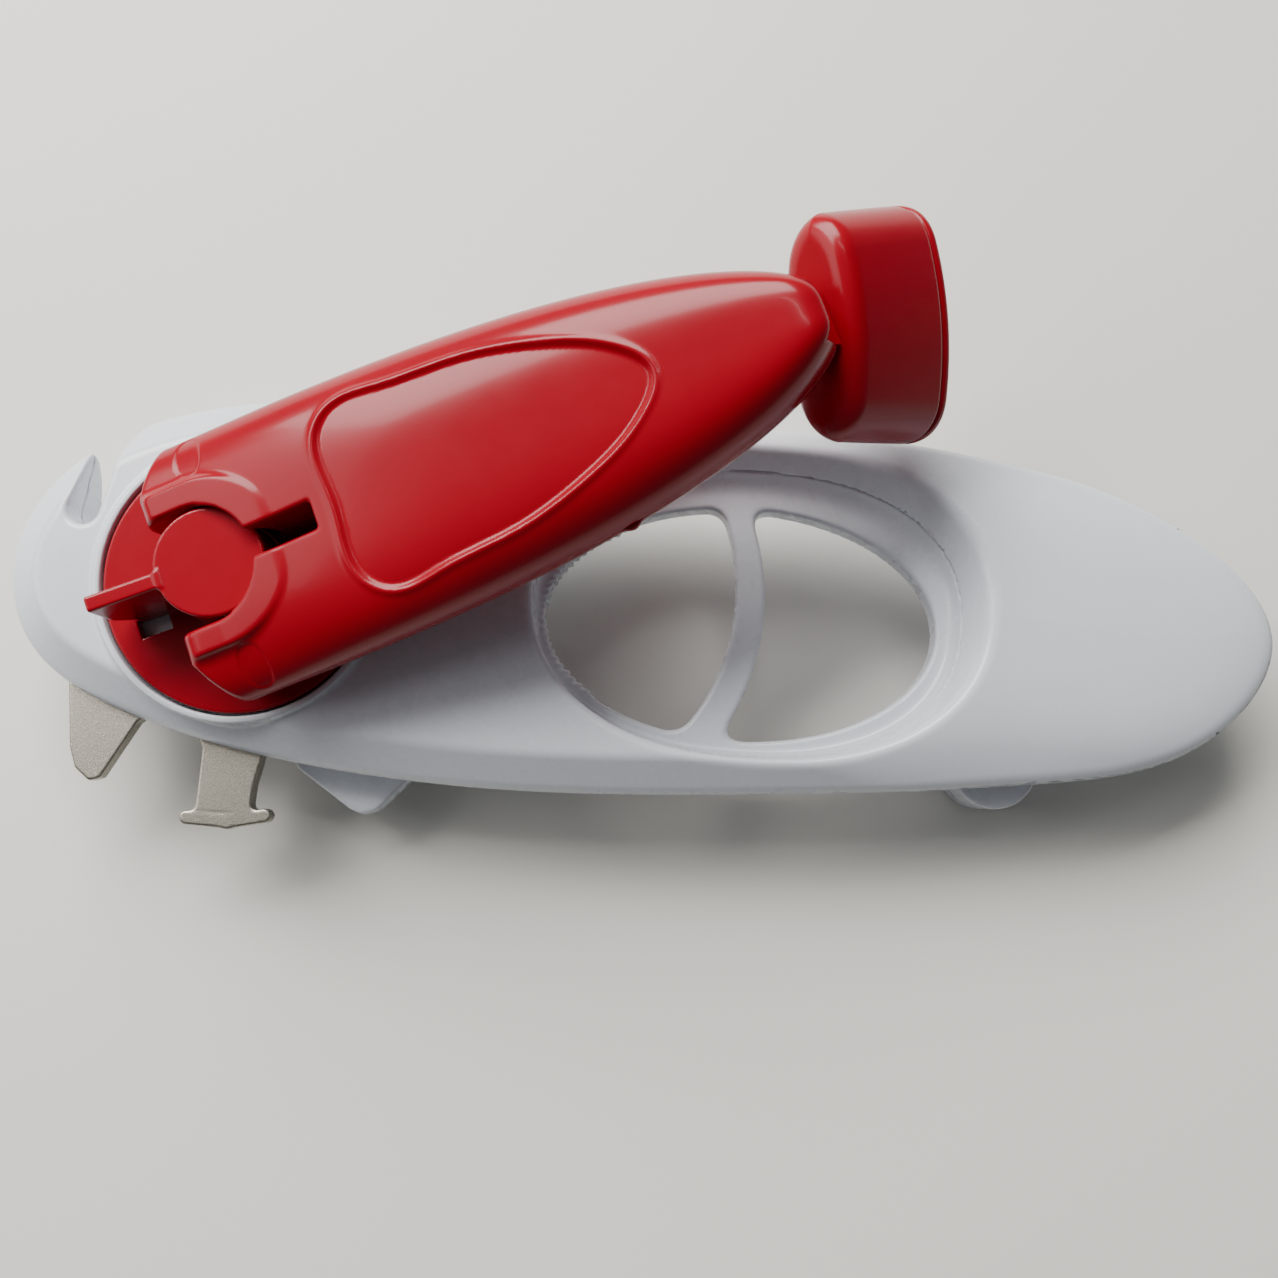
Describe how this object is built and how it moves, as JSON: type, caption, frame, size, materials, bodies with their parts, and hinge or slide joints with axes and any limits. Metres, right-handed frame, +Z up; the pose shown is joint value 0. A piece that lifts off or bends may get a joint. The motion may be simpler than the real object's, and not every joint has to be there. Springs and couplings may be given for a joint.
{
  "type": "manual can opener",
  "caption": "Hand-cranked side-cut can opener: oval body with screw-cap gripper, crown-cap plate and ring-pull notch, and a red crank that flips over with a folding, spinning knob.",
  "frame": {"origin": "middle of the whole opener's box, on the surface it stands on", "axes": "+X along the body to the handle's end, +Y to the side the stored crank leans to, +Z up out of the crank's face"},
  "size_m": [0.2295, 0.1116, 0.0642],
  "materials": {
    "white_shell": "satin moulded",
    "red_crank": "gloss moulded",
    "blasted_steel": "blasted nickel plate",
    "mechanism_steel": "brushed zinc plate",
    "wheel_steel": "ground hardened steel",
    "screw_zinc": "bright zinc",
    "bush_acetal": "natural acetal",
    "drag_rubber": "matt"
  },
  "bodies": {
    "housing": {"top_shell": "white_shell", "bottom_shell": "white_shell", "crown_cap_plate": "blasted_steel", "mechanism_plate": "mechanism_steel", "spindle_bush": "bush_acetal", "body_screws": "screw_zinc", "plate_rivets": "mechanism_steel", "carrier_pivot": "mechanism_steel"},
    "crank_hub": {"crank_hub": "red_crank", "drive_spindle": "wheel_steel", "thrust_washer": "bush_acetal", "friction_roller": "drag_rubber", "feed_wheel": "wheel_steel", "spindle_nut": "screw_zinc"},
    "crank_arm": {"arm_shell": "red_crank", "arm_cover": "red_crank", "arm_screws": "screw_zinc", "arm_hinge_pin": "wheel_steel", "knob_hinge_pin": "wheel_steel"},
    "knob_swivel": {"knob_swivel": "red_crank", "knob_axle": "wheel_steel"},
    "knob": {"knob_shell": "red_crank", "knob_cap": "red_crank", "knob_retainer": "screw_zinc"},
    "cutter_carrier": {"cutter_carrier": "mechanism_steel", "cutter_screw": "screw_zinc", "cutter_washer": "mechanism_steel"},
    "cutting_wheel": {"cutting_wheel": "wheel_steel"}
  },
  "joints": [
    {"name": "crank_spin", "type": "hinge", "parent": "housing", "child": "crank_hub", "pos_m": [-0.0713, -0.0117, 0.027], "axis": [0, 0, 1], "continuous": true},
    {"name": "arm_flip", "type": "hinge", "parent": "crank_hub", "child": "crank_arm", "pos_m": [-0.0713, -0.0117, 0.0365], "axis": [0.3955, -0.9184, 0], "range_deg": [0, 169]},
    {"name": "knob_fold", "type": "hinge", "parent": "crank_arm", "child": "knob_swivel", "pos_m": [0.02, 0.02762, 0.05704], "axis": [0.3955, -0.9184, 0], "range_deg": [0, 50.5]},
    {"name": "knob_spin", "type": "hinge", "parent": "knob_swivel", "child": "knob", "pos_m": [0.03063, 0.0322, 0.0475], "axis": [0.7087, 0.3052, -0.6361], "continuous": true},
    {"name": "cutter_swing", "type": "hinge", "parent": "housing", "child": "cutter_carrier", "pos_m": [-0.0563, -0.0252, 0.0079], "axis": [0, 0, 1], "range_deg": [0, 19]},
    {"name": "cutter_spin", "type": "hinge", "parent": "cutter_carrier", "child": "cutting_wheel", "pos_m": [-0.0519, -0.0115, 0.005], "axis": [0, 0, 1], "continuous": true}
  ]
}
